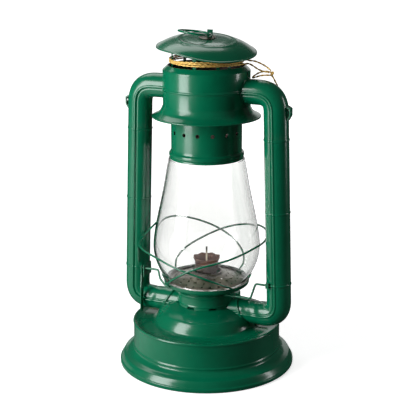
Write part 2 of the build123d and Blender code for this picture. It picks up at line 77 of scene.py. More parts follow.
def setCamera():
    data = bpy.data.cameras.new("camera")
    data.lens, data.sensor_width = cameraView["focal"], 36.0
    camera = bpy.data.objects.new("camera", data)
    a = radians(cameraView["azimuth"])
    camera.location = (cameraView["distance"] * sin(a), -cameraView["distance"] * cos(a),
                       cameraView["height"])
    camera.rotation_euler = (radians(90 - cameraView["pitch"]), 0,
                             radians(cameraView["azimuth"] - cameraView["pan"]))
    bpy.context.scene.collection.objects.link(camera)
    bpy.context.scene.camera = camera


setCamera()
print("camera set")


def newGroup(name, inputs, outputs):
    group = bpy.data.node_groups.new(name, "ShaderNodeTree")
    for label, kind, value in inputs:
        socket = group.interface.new_socket(label, in_out="INPUT", socket_type=kind)
        socket.default_value = value
    for label, kind in outputs:
        group.interface.new_socket(label, in_out="OUTPUT", socket_type=kind)
    return group, group.nodes.new("NodeGroupInput"), group.nodes.new("NodeGroupOutput")


def addNode(tree, kind, **values):
    node = tree.nodes.new(kind)
    for key, value in values.items():
        if hasattr(node, key):
            setattr(node, key, value)
        else:
            node.inputs[key.replace("_", " ").title()].default_value = value
    return node


def mathNode(tree, operation, first, second=None, clamp=False):
    node = tree.nodes.new("ShaderNodeMath")
    node.operation, node.use_clamp = operation, clamp
    for i, value in enumerate((first, second)):
        if value is None:
            continue
        if isinstance(value, (int, float)):
            node.inputs[i].default_value = value
        else:
            tree.links.new(value, node.inputs[i])
    return node.outputs[0]


def makeMottle():
    group, given, result = newGroup(
        "surfaceMottle",
        [("Scale", "NodeSocketFloat", 40.0), ("Fine Scale", "NodeSocketFloat", 600.0),
         ("Contrast", "NodeSocketFloat", 1.0)],
        [("Mask", "NodeSocketFloat"), ("Fine", "NodeSocketFloat")])
    where = group.nodes.new("ShaderNodeNewGeometry")
    broad = addNode(group, "ShaderNodeTexNoise", detail=3.0, roughness=0.6)
    fine = addNode(group, "ShaderNodeTexNoise", detail=2.0, roughness=0.5)
    for noise, label in ((broad, "Scale"), (fine, "Fine Scale")):
        group.links.new(where.outputs["Position"], noise.inputs["Vector"])
        group.links.new(given.outputs[label], noise.inputs["Scale"])
    centred = mathNode(group, "SUBTRACT", broad.outputs["Fac"], 0.5)
    scaled = mathNode(group, "MULTIPLY", centred, given.outputs["Contrast"])
    group.links.new(mathNode(group, "ADD", scaled, 0.5, clamp=True), result.inputs["Mask"])
    group.links.new(fine.outputs["Fac"], result.inputs["Fine"])
    return group


wearLook = {"edge": 0.56, "edgeGain": 14.0, "patch": 0.42, "patchGain": 6.0}


def makeEdgeWear():
    group, given, result = newGroup(
        "edgeWear",
        [("Amount", "NodeSocketFloat", 0.5), ("Scale", "NodeSocketFloat", 250.0)],
        [("Wear", "NodeSocketFloat")])
    where = group.nodes.new("ShaderNodeNewGeometry")
    noise = addNode(group, "ShaderNodeTexNoise", detail=3.0, roughness=0.7)
    group.links.new(where.outputs["Position"], noise.inputs["Vector"])
    group.links.new(given.outputs["Scale"], noise.inputs["Scale"])
    edge = mathNode(group, "SUBTRACT", where.outputs["Pointiness"], wearLook["edge"])
    strong = mathNode(group, "MULTIPLY", edge, wearLook["edgeGain"], clamp=True)
    patchy = mathNode(group, "SUBTRACT", noise.outputs["Fac"], wearLook["patch"])
    sharp = mathNode(group, "MULTIPLY", patchy, wearLook["patchGain"], clamp=True)
    both = mathNode(group, "MULTIPLY", strong, sharp, clamp=True)
    group.links.new(mathNode(group, "MULTIPLY", both, given.outputs["Amount"], clamp=True),
                    result.inputs["Wear"])
    return group


mottleGroup, wearGroup = makeMottle(), makeEdgeWear()


def placeGroup(tree, group, **values):
    node = tree.nodes.new("ShaderNodeGroup")
    node.node_tree = group
    for key, value in values.items():
        node.inputs[key].default_value = value
    return node


def mixColour(tree, factor, first, second):
    node = tree.nodes.new("ShaderNodeMix")
    node.data_type = "RGBA"
    tree.links.new(factor, node.inputs[0])
    for socket, value in ((node.inputs[6], first), (node.inputs[7], second)):
        if isinstance(value, (tuple, list)):
            socket.default_value = (*value, 1.0)
        else:
            tree.links.new(value, socket)
    return node.outputs[2]


def mixValue(tree, factor, low, high):
    node = tree.nodes.new("ShaderNodeMapRange")
    tree.links.new(factor, node.inputs["Value"])
    node.inputs["To Min"].default_value, node.inputs["To Max"].default_value = low, high
    return node.outputs["Result"]


def newMaterial(name):
    material = bpy.data.materials.new(name)
    material.use_nodes = True
    return material, material.node_tree, material.node_tree.nodes["Principled BSDF"]


def addBump(tree, shader, height, strength, distance):
    bump = tree.nodes.new("ShaderNodeBump")
    bump.inputs["Strength"].default_value = strength
    bump.inputs["Distance"].default_value = distance
    tree.links.new(height, bump.inputs["Height"])
    tree.links.new(bump.outputs["Normal"], shader.inputs["Normal"])


everyFinish = {"contrast": 1.5, "wearScale": 260.0, "coatRoughness": 0.06, "bumpDepth": 0.2 * mm}


def makeSurface(name, finish):
    material, tree, shader = newMaterial(name)
    mottle = placeGroup(tree, mottleGroup, **{"Scale": finish["patch"], "Fine Scale": finish["grain"],
                                              "Contrast": everyFinish["contrast"]})
    colour = mixColour(tree, mottle.outputs["Mask"], finish["dark"], finish["light"])
    if finish.get("wear"):
        wear = placeGroup(tree, wearGroup, Amount=finish["wear"], Scale=everyFinish["wearScale"])
        colour = mixColour(tree, wear.outputs["Wear"], colour, finish["worn"])
    tree.links.new(colour, shader.inputs["Base Color"])
    tree.links.new(mixValue(tree, mottle.outputs["Mask"], *finish["rough"]), shader.inputs["Roughness"])
    shader.inputs["Metallic"].default_value = finish.get("metal", 0.0)
    shader.inputs["Coat Weight"].default_value = finish.get("coat", 0.0)
    shader.inputs["Coat Roughness"].default_value = everyFinish["coatRoughness"]
    addBump(tree, shader, mottle.outputs["Fine"], finish["bump"], everyFinish["bumpDepth"])
    return material


finishes = {
    "enamel": {"dark": (0.0, 0.128, 0.058), "light": (0.0, 0.165, 0.078), "patch": 30, "grain": 260,
               "rough": (0.17, 0.28), "coat": 0.2, "bump": 0.1, "wear": 0.35, "worn": (0.08, 0.16, 0.12)},
    "tinplate": {"dark": (0.20, 0.20, 0.19), "light": (0.42, 0.42, 0.40), "patch": 120, "grain": 900,
                 "rough": (0.3, 0.5), "metal": 0.9, "bump": 0.15},
    "bareSteel": {"dark": (0.035, 0.034, 0.026), "light": (0.15, 0.13, 0.095), "patch": 90, "grain": 900,
                  "rough": (0.28, 0.5), "metal": 0.85, "bump": 0.2},
    # the dark sooty steel of the burner, also laid on inner faces as painted shade
    "sootAndShadeSteel": {"dark": (0.022, 0.016, 0.014), "light": (0.12, 0.085, 0.07), "patch": 160, "grain": 1200,
                   "rough": (0.4, 0.7), "metal": 0.6, "bump": 0.35},
    "rustyCone": {"dark": (0.05, 0.022, 0.016), "light": (0.24, 0.11, 0.075), "patch": 220, "grain": 1200,
                  "rough": (0.45, 0.75), "metal": 0.4, "bump": 0.35},
    "brass": {"dark": (0.30, 0.20, 0.09), "light": (0.62, 0.46, 0.25), "patch": 150, "grain": 900,
              "rough": (0.25, 0.45), "metal": 0.9, "bump": 0.12},
    "rubber": {"dark": (0.01, 0.01, 0.01), "light": (0.03, 0.03, 0.03), "patch": 200, "grain": 1500,
               "rough": (0.6, 0.8), "bump": 0.2},
}
surfaces = {name: makeSurface(name, finish) for name, finish in finishes.items()}


# the glass's colour is painted darker towards its grazing edges as painted shade: facing is the colour seen
# straight on, edge the one at grazing angles
glassLook = {"facing": (0.90, 0.905, 0.895), "edge": (0.16, 0.18, 0.17), "edgeShadeBlend": 0.42, "edgeShadePower": 2.0,
             "refraction": 1.46, "haze": 0.03, "waviness": 0.05}


def makeGlass():
    material, tree, shader = newMaterial("globeGlass")
    # painted shade: the colour darkens from facing to edge as the glass turns away from view
    facing = tree.nodes.new("ShaderNodeLayerWeight")
    facing.inputs["Blend"].default_value = glassLook["edgeShadeBlend"]
    edge = mathNode(tree, "POWER", facing.outputs["Facing"], glassLook["edgeShadePower"])
    tree.links.new(mixColour(tree, edge, glassLook["facing"], glassLook["edge"]), shader.inputs["Base Color"])
    shader.inputs["Transmission Weight"].default_value = 1.0
    shader.inputs["IOR"].default_value = glassLook["refraction"]
    mottle = placeGroup(tree, mottleGroup, **{"Scale": 25, "Fine Scale": 90, "Contrast": 2.0})
    tree.links.new(mixValue(tree, mottle.outputs["Mask"], 0.0, glassLook["haze"]), shader.inputs["Roughness"])
    addBump(tree, shader, mottle.outputs["Fine"], glassLook["waviness"], 0.3 * mm)
    return material


stringLook = {"dark": (0.66, 0.37, 0.06), "light": (1.0, 0.72, 0.24), "sheen": 0.25, "fuzz": 0.6}


def makeString():
    material, tree, shader = newMaterial("goldString")
    mottle = placeGroup(tree, mottleGroup, **{"Scale": 500, "Fine Scale": 3500, "Contrast": 2.5})
    colour = mixColour(tree, mottle.outputs["Mask"], stringLook["dark"], stringLook["light"])
    tree.links.new(colour, shader.inputs["Base Color"])
    tree.links.new(mixValue(tree, mottle.outputs["Fine"], 0.3, 0.6), shader.inputs["Roughness"])
    shader.inputs["Metallic"].default_value = stringLook["sheen"]
    addBump(tree, shader, mottle.outputs["Fine"], stringLook["fuzz"], 0.2 * mm)
    return material


wickLook = {"charStart": 0.124, "charEnd": 0.1315, "weaveScale": 700.0, "weft": (0.55, 0.45, 0.30),
            "warp": (0.85, 0.78, 0.62), "char": (0.02, 0.015, 0.012)}


def makeWickCloth():
    material, tree, shader = newMaterial("wickCotton")
    where = tree.nodes.new("ShaderNodeNewGeometry")
    split = tree.nodes.new("ShaderNodeSeparateXYZ")
    tree.links.new(where.outputs["Position"], split.inputs[0])
    char = tree.nodes.new("ShaderNodeMapRange")
    tree.links.new(split.outputs["Z"], char.inputs["Value"])
    char.inputs["From Min"].default_value = wickLook["charStart"]
    char.inputs["From Max"].default_value = wickLook["charEnd"]
    wave = addNode(tree, "ShaderNodeTexWave", scale=wickLook["weaveScale"], distortion=2.0)
    tree.links.new(where.outputs["Position"], wave.inputs["Vector"])
    weave = mixColour(tree, wave.outputs["Fac"], wickLook["weft"], wickLook["warp"])
    colour = mixColour(tree, char.outputs["Result"], weave, wickLook["char"])
    tree.links.new(colour, shader.inputs["Base Color"])
    tree.links.new(mixValue(tree, wave.outputs["Fac"], 0.8, 0.95), shader.inputs["Roughness"])
    addBump(tree, shader, wave.outputs["Fac"], 0.6, 0.3 * mm)
    return material


surfaces["glass"], surfaces["string"], surfaces["wick"] = makeGlass(), makeString(), makeWickCloth()
print("materials made")


def finishPiece(piece, body, surface, replaced=()):
    piece.data.materials.clear()
    piece.data.materials.append(surfaces[surface])
    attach(piece, body)
    if replaced:
        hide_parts(*replaced)
    return piece


def meshPiece(name, points, faces, sharp=35):
    mesh = bpy.data.meshes.new(name)
    mesh.from_pydata([tuple(p) for p in points], [], faces)
    shaped = bmesh.new()
    shaped.from_mesh(mesh)
    bmesh.ops.remove_doubles(shaped, verts=shaped.verts, dist=1e-6)
    bmesh.ops.recalc_face_normals(shaped, faces=shaped.faces)
    shaped.to_mesh(mesh)
    shaped.free()
    for face in mesh.polygons:
        face.use_smooth = True
    mesh.set_sharp_from_angle(angle=radians(sharp))
    piece = bpy.data.objects.new(name, mesh)
    bpy.context.scene.collection.objects.link(piece)
    return piece


# quads between rows of points, each row a ring of the same count
def gridFaces(start, rows, count):
    faces = []
    for i in range(rows - 1):
        for k in range(count):
            m = (k + 1) % count
            faces.append((start + i * count + k, start + i * count + m,
                          start + (i + 1) * count + m, start + (i + 1) * count + k))
    return faces


# the same line with points no further apart than the step, or nearly
def splitLine(line, step):
    dense = []
    for a, b in zip(line, line[1:]):
        parts = max(1, int((b - a).length / step))
        dense += [a.lerp(b, k / parts) for k in range(parts)]
    return dense + [line[-1]]


def joinPieces(pieces, name):
    joined = pieces[0]
    with bpy.context.temp_override(active_object=joined, selected_editable_objects=pieces):
        bpy.ops.object.join()
    joined.name = name
    return joined


# corners of a line replaced by curves of their bends
def roundedLine(points, bends, step=12.0):
    line = [Vector(points[0])]
    for i in range(1, len(points) - 1):
        at = Vector(points[i])
        back, on = (Vector(points[i - 1]) - at), (Vector(points[i + 1]) - at)
        turn = back.angle(-on)
        reach = min(bends[i - 1] * tan(turn / 2), 0.49 * back.length, 0.49 * on.length)
        start, end = at + back.normalized() * reach, at + on.normalized() * reach
        count = max(2, int(turn / radians(step)) + 1)
        for k in range(count + 1):
            t = k / count
            line.append((1 - t) ** 2 * start + 2 * t * (1 - t) * at + t * t * end)
    line.append(Vector(points[-1]))
    return line


# a profile line closed into a thin strip on its right-hand side
def sheetLoop(line, thickness=0.8):
    offset = []
    for i, at in enumerate(line):
        before, after = line[max(i - 1, 0)], line[min(i + 1, len(line) - 1)]
        along = (after - before).normalized()
        offset.append(Vector((at[0] + along[1] * thickness, at[1] - along[0] * thickness)))
    return list(line) + offset[::-1]


# painted shade: the faces that look towards the axis, and those tilted further down than the given limit,
# take the dark sooty steel finish
def paintShadeInside(piece, below=1.0):
    piece.data.materials.append(surfaces["sootAndShadeSteel"])
    for face in piece.data.polygons:
        out = Vector((face.center[0], face.center[1], 0)).normalized()
        if face.normal.dot(out) < -0.3 or face.normal[2] < -below:
            face.material_index = 1


# a profile turned about Z, its points (radius, height) in millimetres
def lathe(name, loop, segments=144, place=None, ripple=None, sharp=35):
    points, faces, count = [], [], len(loop)
    for s in range(segments):
        a = 2 * pi * s / segments
        for r, z in loop:
            dr, dz = ripple(r, z, a) if ripple else (0, 0)
            points.append(Vector(((r + dr) * sin(a), -(r + dr) * cos(a), z + dz)) * mm)
    for s in range(segments):
        t = (s + 1) % segments
        for i in range(count):
            j = (i + 1) % count
            faces.append((s * count + i, t * count + i, t * count + j, s * count + j))
    if place is not None:
        points = [place @ p for p in points]
    return meshPiece(name, points, faces, sharp)


# a round wire along control points in metres
def wirePiece(name, points, diameter, order=3, closed=False, resolution=8):
    data = bpy.data.curves.new(name, "CURVE")
    data.dimensions = "3D"
    data.bevel_depth, data.bevel_resolution, data.use_fill_caps = diameter / 2, 4, True
    data.resolution_u = resolution
    spline = data.splines.new("NURBS")
    spline.points.add(len(points) - 1)
    for at, point in zip(spline.points, points):
        at.co = (*point, 1)
    spline.order_u, spline.use_endpoint_u, spline.use_cyclic_u = order, not closed, closed
    piece = bpy.data.objects.new(name, data)
    bpy.context.scene.collection.objects.link(piece)
    return piece


# the middle line of a wire piece, as points in metres
def curveLine(piece):
    bare = piece.data.copy()
    bare.bevel_depth = 0
    holder = bpy.data.objects.new("line", bare)
    mesh = bpy.data.meshes.new_from_object(holder)
    line = [v.co.copy() for v in mesh.vertices]
    bpy.data.objects.remove(holder)
    bpy.data.curves.remove(bare)
    bpy.data.meshes.remove(mesh)
    return line


# the glow of the paper rises from its near value to its far one over the two distances in metres; in
# reflections and bounce light the paper carries a painted pool of light at its front left
stageLook = {"floorSize": 16.0, "nearGlow": 0.7, "farGlow": 1.1, "glowRise": (0.4, 1.2), "floorSeen": 0.9,
             "floorBounce": 0.09, "paintedLightBounce": 0.8, "paintedLightPatch": (("X", 0.02, -0.16), ("Y", 0.03, -0.07)),
             "seenSky": 1.5, "skyLight": 0.05}


def seenDirectly(tree):
    path = tree.nodes.new("ShaderNodeLightPath")
    return mathNode(tree, "MAXIMUM", path.outputs["Is Camera Ray"], path.outputs["Is Transmission Ray"])


def makeStage():
    bpy.ops.mesh.primitive_plane_add(size=stageLook["floorSize"])
    floor = bpy.context.object
    floor.name = "floor"
    floor.location.z = cadBox[0][2]
    material, tree, shader = newMaterial("floorPaper")
    shader.inputs["Roughness"].default_value = 0.9
    shader.inputs["Specular IOR Level"].default_value = 0.0
    shader.inputs["Emission Color"].default_value = (1, 1, 1, 1)
    # the paper is white to look at, also through the glass, and dim where the enamel reflects it
    seen = seenDirectly(tree)
    where, split = tree.nodes.new("ShaderNodeNewGeometry"), tree.nodes.new("ShaderNodeSeparateXYZ")
    tree.links.new(where.outputs["Position"], split.inputs[0])
    away, far = tree.nodes.new("ShaderNodeVectorMath"), tree.nodes.new("ShaderNodeMapRange")
    away.operation = "LENGTH"
    tree.links.new(where.outputs["Position"], away.inputs[0])
    tree.links.new(away.outputs["Value"], far.inputs["Value"])
    far.inputs["From Min"].default_value, far.inputs["From Max"].default_value = stageLook["glowRise"]
    far.inputs["To Min"].default_value = stageLook["nearGlow"]
    far.inputs["To Max"].default_value = stageLook["farGlow"]
    tree.links.new(mathNode(tree, "MULTIPLY", seen, far.outputs["Result"]),
                   shader.inputs["Emission Strength"])
    # a painted pool of light on the front left of the paper, seen only in reflections and bounce light
    bright = []
    for axis, dark, light in stageLook["paintedLightPatch"]:
        ramp = tree.nodes.new("ShaderNodeMapRange")
        tree.links.new(split.outputs[axis], ramp.inputs["Value"])
        ramp.inputs["From Min"].default_value, ramp.inputs["From Max"].default_value = dark, light
        bright.append(ramp.outputs["Result"])
    paintedLightPatch = mathNode(tree, "MULTIPLY", bright[0], bright[1])
    bounce = mixColour(tree, paintedLightPatch, (stageLook["floorBounce"],) * 3, (stageLook["paintedLightBounce"],) * 3)
    tree.links.new(mixColour(tree, seen, bounce, (stageLook["floorSeen"],) * 3), shader.inputs["Base Color"])
    floor.data.materials.append(material)
    world = bpy.data.worlds.new("sky")
    bpy.context.scene.world = world
    world.use_nodes = True
    nodes, links = world.node_tree.nodes, world.node_tree.links
    mix = nodes.new("ShaderNodeMapRange")
    links.new(seenDirectly(world.node_tree), mix.inputs["Value"])
    mix.inputs["To Min"].default_value = stageLook["skyLight"]
    mix.inputs["To Max"].default_value = stageLook["seenSky"]
    nodes["Background"].inputs["Color"].default_value = (1, 1, 1, 1)
    links.new(mix.outputs["Result"], nodes["Background"].inputs["Strength"])


lampMiddle = 0.18
# azimuth from the front, height and distance in metres, width and height of the panel, watts
lightPanels = {
    "keyPanel": (-37, 0.52, 1.15, 0.62, 1.05, 19),
    "topPanel": (222, 1.45, 1.0, 1.3, 0.8, 7.5),
    "rightPanel": (112, 0.45, 1.5, 0.22, 1.0, 5),
    "backPanel": (200, 0.5, 1.9, 1.6, 0.8, 3),
}


def makeLights():
    for name, (azimuth, height, distance, width, tall, watts) in lightPanels.items():
        data = bpy.data.lights.new(name, "AREA")
        data.shape, data.size, data.size_y, data.energy = "RECTANGLE", width, tall, watts
        light = bpy.data.objects.new(name, data)
        light.location = around(distance * 1000, azimuth, height * 1000)
        aim = Vector((0, 0, lampMiddle)) - light.location
        light.rotation_euler = aim.to_track_quat("-Z", "Y").to_euler()
        bpy.context.scene.collection.objects.link(light)


makeStage()
makeLights()
print("floor and light set")


tieString = {"diameter": 1.9 * mm, "turns": 3, "winding": 39.6, "low": 338.6, "high": 343.6, "pitch": 1.75,
             "pointsPerTurn": 16, "firstAzimuth": 84.0, "lastAzimuth": 111.0, "twist": 11.0 * mm,
             "plyOffset": 0.18, "plyRadius": 0.34, "knotSize": 0.62 * mm, "knotPoints": 24}
# the string's route off the winding, in millimetres
strandOver = [(44.6, 8.2, 341.9), (48.5, 8.4, 342.0), (53.0, 8.8, 341.4), (59.0, 8.0, 339.6),
              (64.2, 8.9, 336.9), (68.2, 8.1, 334.4), (70.3, 8.0, 332.8)]
strandUnder = [(44.4, 5.6, 339.2), (48.0, 5.7, 338.6), (52.0, 6.8, 336.0), (57.0, 6.1, 333.3),
               (62.4, 6.3, 331.8), (68.8, 6.7, 330.8)]
bowLoop = [(69.2, 9.9, 330.9), (64.4, 10.2, 331.6), (58.8, 10.8, 330.6), (53.6, 10.4, 328.2),
           (50.0, 9.9, 325.4), (49.9, 6.3, 324.2), (53.4, 5.7, 325.0), (58.6, 6.4, 326.9), (63.8, 6.1, 327.9),
           (69.4, 7.2, 328.0)]
stringTail = [(71.4, 9.4, 327.3), (73.0, 10.4, 323.6), (75.0, 11.4, 319.4), (76.4, 13.2, 315.2),
              (77.3, 14.6, 310.8)]


# two twisted plies along a line of points
def ropeMesh(name, line, diameter, twist, sides=7, step=0.45 * mm):
    line = [Vector(p) for p in line]
    reach = [0.0]
    for a, b in zip(line, line[1:]):
        reach.append(reach[-1] + (b - a).length)
    count = max(8, int(reach[-1] / step))
    spots = np.linspace(0, reach[-1], count + 1)
    packed = np.array([tuple(p) for p in line])
    middle = [Vector(p) for p in np.stack([np.interp(spots, reach, packed[:, k]) for k in range(3)], axis=1)]
    points, faces = [], []
    side = None
    frames = []
    for i, at in enumerate(middle):
        along = (middle[min(i + 1, count)] - middle[max(i - 1, 0)]).normalized()
        if side is None:
            side = along.orthogonal().normalized()
        side = (side - along * side.dot(along)).normalized()
        frames.append((at, side.copy(), along.cross(side)))
    for ply in range(2):
        start = len(points)
        for i, (at, one, two) in enumerate(frames):
            turn = 2 * pi * spots[i] / twist + pi * ply
            centre = at + (one * cos(turn) + two * sin(turn)) * diameter * tieString["plyOffset"]
            for k in range(sides):
                a = 2 * pi * k / sides + turn
                points.append(centre + (one * cos(a) + two * sin(a)) * diameter * tieString["plyRadius"])
        faces += gridFaces(start, count + 1, sides)
        for ring in (range(sides), range(count * sides, (count + 1) * sides)):
            faces.append([start + k for k in ring])
    return meshPiece(name, points, faces, sharp=60)


def windingPoints():
    per, turns = tieString["pointsPerTurn"], tieString["turns"]
    first, last = tieString["firstAzimuth"], tieString["lastAzimuth"] - 360 * turns
    found = []
    for i in range(per * turns):
        t = i / (per * turns - 1)
        azimuth = first + (last - first) * t
        wander = 0.5 * sin(2.1 * i) + 0.35 * sin(0.83 * i + 1)
        height = tieString["low"] + tieString["pitch"] * turns * t + 0.55 * sin(0.42 * i) + 0.3 * sin(1.3 * i)
        found.append(tuple(around(tieString["winding"] + wander, azimuth,
                                  min(height, tieString["high"])) / mm))
    return found


def ropeAlong(name, route):
    guide = wirePiece(name + "Line", [Vector(p) * mm for p in route], tieString["diameter"])
    line = curveLine(guide)
    bpy.data.objects.remove(guide)
    piece = ropeMesh(name, line, tieString["diameter"], tieString["twist"])
    length = sum((b - a).length for a, b in zip(line, line[1:]))
    print(name, "length", round(length * 1000, 1))
    return piece, line, length


def makeTieString():
    low, high = (Vector(c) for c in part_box("string_knot"))
    knotRoute = []
    for i in range(tieString["knotPoints"] + 1):  # a trefoil, small enough for its ball
        t = 2 * pi * i / tieString["knotPoints"]
        bend = Vector((sin(t) + 2 * sin(2 * t), 0.9 * -sin(3 * t), cos(t) - 2 * cos(2 * t)))
        knotRoute.append((low + high) / 2 + bend * tieString["knotSize"])
    knot = ropeMesh("stringKnot", knotRoute, tieString["diameter"] * 0.95, tieString["twist"] * 0.7)
    finishPiece(knot, "canopy", "string", ["string_knot"])
    tie, line, length = ropeAlong("tieWinding", strandUnder[::-1] + windingPoints() + strandOver)
    finishPiece(tie, "canopy", "string", ["string_coil", "string_strand_over", "string_strand_under"])
    bow, line, length = ropeAlong("stringBow", bowLoop + stringTail)
    finishPiece(bow, "canopy", "string", ["string_bow", "string_tail"])


makeTieString()
print("tie string made")


tank = {"radius": 82.5, "top": 48.5, "footRadius": 98.0, "collar": 32.5, "domeTop": 69.0,
        "dimple": {"arms": (90, 270), "beside": (-34, 34), "at": 47.5, "wide": 9.0, "long": 5.5,
                   "inward": 0.5, "deep": 0.9}}


def makeTank():
    r, top, rim = tank["radius"], tank["top"], tank["footRadius"]
    footLine = roundedLine([(r + 0.1, 20.4), (r + 0.4, 17.6), (rim - 10, 13.6), (rim - 4.4, 12.0),
                            (rim - 2.8, 9.0), (rim - 1.4, 5.2), (rim, 4.6), (rim, 0.3), (rim - 2.4, 0.3),
                            (rim - 2.6, 3.4)],
                           [2.5, 9.0, 2.0, 2.4, 1.2, 2.0, 1.4, 1.2])
    foot = lathe("tankFoot", sheetLoop(footLine, 0.8), 192)
    finishPiece(foot, "frame", "enamel", ["tank_foot"])
    bodyLine = roundedLine([(r - 2.6, top + 0.1), (r - 1.4, top + 1.0), (r + 0.1, top + 0.9),
                            (r + 0.5, top - 0.6), (r - 0.3, top - 2.4), (r - 0.1, 22.6), (r + 0.7, 21.4),
                            (r + 0.1, 19.2)],
                           [0.8, 0.8, 0.9, 1.2, 5.0, 1.0])
    body = lathe("tankBody", sheetLoop(bodyLine, 0.7), 192)
    finishPiece(body, "frame", "enamel", ["tank_body"])
    edge = r - 2.0
    domeLine = roundedLine([(0, tank["domeTop"]), (tank["collar"] - 2, tank["domeTop"]),
                            (tank["collar"] + 1.6, 68.9), (43.0, 65.6), (51.6, 60.6), (55.6, 54.6),
                            (57.6, top - 0.2), (61.5, top - 1.3), (edge - 6, top - 1.1),
                            (edge, top + 0.2)],
                           [1.0, 3.0, 20.0, 7.0, 14.0, 3.0, 4.0, 4.0])

    def dimple(x, z, a):
        # pressed hollows on the dome, one at each side of each arm
        look, sink = tank["dimple"], 0.0
        for arm in look["arms"]:
            for offset in look["beside"]:
                gap = turnFrom(a, arm + offset)
                sink += exp(-(gap * x / look["wide"]) ** 2 - ((x - look["at"]) / look["long"]) ** 2)
        return -look["inward"] * sink, -look["deep"] * sink

    dome = lathe("tankDome", sheetLoop(domeLine, 0.8), 192, ripple=dimple)
    finishPiece(dome, "frame", "enamel", ["tank_dome"])


makeTank()
print("tank made")


# a folded seam runs down the front and the back of each tube, with a groove beside it
tubes = {"radius": 13.4, "footX": 87.2, "headX": 79.2, "arm": 64.7, "head": 310.5, "bend": 24.0,
         "armRoot": 29.6, "headRoot": 40.5, "lowJoint": 100.0, "highJoint": 264.0, "sleeve": 0.12,
         "overlap": 0.4, "seamHeight": 0.85, "seamWidth": 0.085, "grooveDepth": 0.8, "grooveAt": 0.155,
         "grooveWidth": 0.045}
flanges = {"armAt": 46.0, "armLean": 7.5, "armRadius": 13.6, "armWire": 2.8, "hoodAt": 47.4,
           "hoodRadius": 14.0, "hoodWire": 1.6, "points": 24}
# each arm's line of bare solder on the tank: from, to and how far back
solderLines = {"left": (-80.5, -66, 9.5), "right": (50, 71.5, 4.8), "height": 49.0, "wire": 1.5}


def tubeX(height):
    upward = (height - tubes["arm"]) / (tubes["head"] - tubes["arm"])
    return tubes["footX"] - (tubes["footX"] - tubes["headX"]) * upward


# the section's angles and radii: 0 faces outwards, a quarter turn faces the front or the back
def seamSection(extra=0.0, seam=1.0):
    oneSide = [0.04, 0.07, 0.1, 0.13, 0.17, 0.21, 0.26, 0.34]
    close = [-d for d in oneSide[::-1]] + [0.0] + oneSide
    angles = []
    for middle in (pi / 2, -pi / 2):
        angles += [middle + d for d in close]
        angles += [middle + pi / 2 + d for d in np.linspace(-1.1, 1.1, 15)]
    section = []
    for a in sorted(x % (2 * pi) for x in angles):
        away = min(abs(a - pi / 2), abs(a - 3 * pi / 2))
        signed = (a - pi / 2) if abs(a - pi / 2) < abs(a - 3 * pi / 2) else (3 * pi / 2 - a)
        rise = tubes["seamHeight"] * exp(-(away / tubes["seamWidth"]) ** 4)
        groove = tubes["grooveDepth"] * exp(-((signed - tubes["grooveAt"]) / tubes["grooveWidth"]) ** 2)
        section.append((a, tubes["radius"] + extra + seam * (rise - groove)))
    return section


def tubePath(corners, bend, step=7.0, run=12.0):
    line = [Vector(c) for c in corners]
    if len(corners) > 2:
        line = roundedLine(line, bend, step)
    return splitLine(line, run)


# sections carried along paths in the XZ plane; wrinkle adds to the radius at a place and an angle
def sweptTube(name, runs, side, wall=0.8, wrinkle=None):
    points, faces = [], []
    for path, sections in runs:
        start, count = len(points), len(sections[0])
        steps = [(b - a).normalized() for a, b in zip(path, path[1:])]
        upright = max(steps, key=lambda step: abs(step[2]))
        hand = side if upright[2] > 0 else -side
        for i, at in enumerate(path):
            along = (path[min(i + 1, len(path) - 1)] - path[max(i - 1, 0)]).normalized()
            out = Vector((along[2], 0, -along[0])) * hand
            for a, r in sections[min(i, len(sections) - 1)]:
                r += wrinkle(at, a) if wrinkle else 0
                points.append((at + out * (r * cos(a)) + Vector((0, r * sin(a), 0))) * mm)
        rows = len(path)
        faces += gridFaces(start, rows, count)
        # the inner wall, a little way in at both ends
        inner = len(points)
        for end, beside in ((0, 1), (rows - 1, rows - 2)):
            centre = path[end] * mm
            for shift in (Vector((0, 0, 0)), (path[beside] - path[end]) * mm):
                for k in range(count):
                    outer = points[start + end * count + k]
                    points.append(centre + (outer - centre) * (1 - wall / tubes["radius"]) + shift)
        for e, base in ((0, start), (1, start + (rows - 1) * count)):
            lip, deep = inner + 2 * e * count, inner + (2 * e + 1) * count
            for k in range(count):
                m = (k + 1) % count
                faces.append((base + k, base + m, lip + m, lip + k))
                faces.append((lip + k, lip + m, deep + m, deep + k))
    return meshPiece(name, points, faces, sharp=40)


# the rings beside the two joints and the narrower one between them
crimpShape = {"proud": 0.78, "width": 3.0, "aboveLow": 2.2, "belowHigh": 2.4, "pastMiddle": 0.4,
              "middleProud": 0.8, "middleWidth": 2.4}


def crimp(centre, side, proud=crimpShape["proud"], width=crimpShape["width"]):
    heights = np.linspace(-width / 2, width / 2, 9)
    path = [Vector((side * tubeX(centre + h), 0, centre + h)) for h in heights]
    sections = [seamSection(-0.15 + proud * sqrt(max(0, 1 - (2 * h / width) ** 2)), 0.8) for h in heights]
    return path, sections


# how far out the press marks begin and end, over what length each end fades, and how deep they are
armMarks = {"from": 44, "fadeIn": 6, "to": 80, "fadeOut": 8, "below": 70, "wave": 0.35, "hollow": 0.3}


# the arm's press marks, between the dome and the bend
def armWrinkle(at, a):
    reach = abs(at[0])
    rising = max(0, min(1, (reach - armMarks["from"]) / armMarks["fadeIn"]))
    falling = max(0, min(1, (armMarks["to"] - reach) / armMarks["fadeOut"]))
    wave = sin(reach * 0.4 + 2.6 * sin(2 * a)) * 0.7 + sin(reach * 0.75 - 2 * a + 1) * 0.35
    marks = armMarks["wave"] * wave - armMarks["hollow"] * max(0, -sin(a * 2))
    return rising * falling * (at[2] < armMarks["below"]) * marks


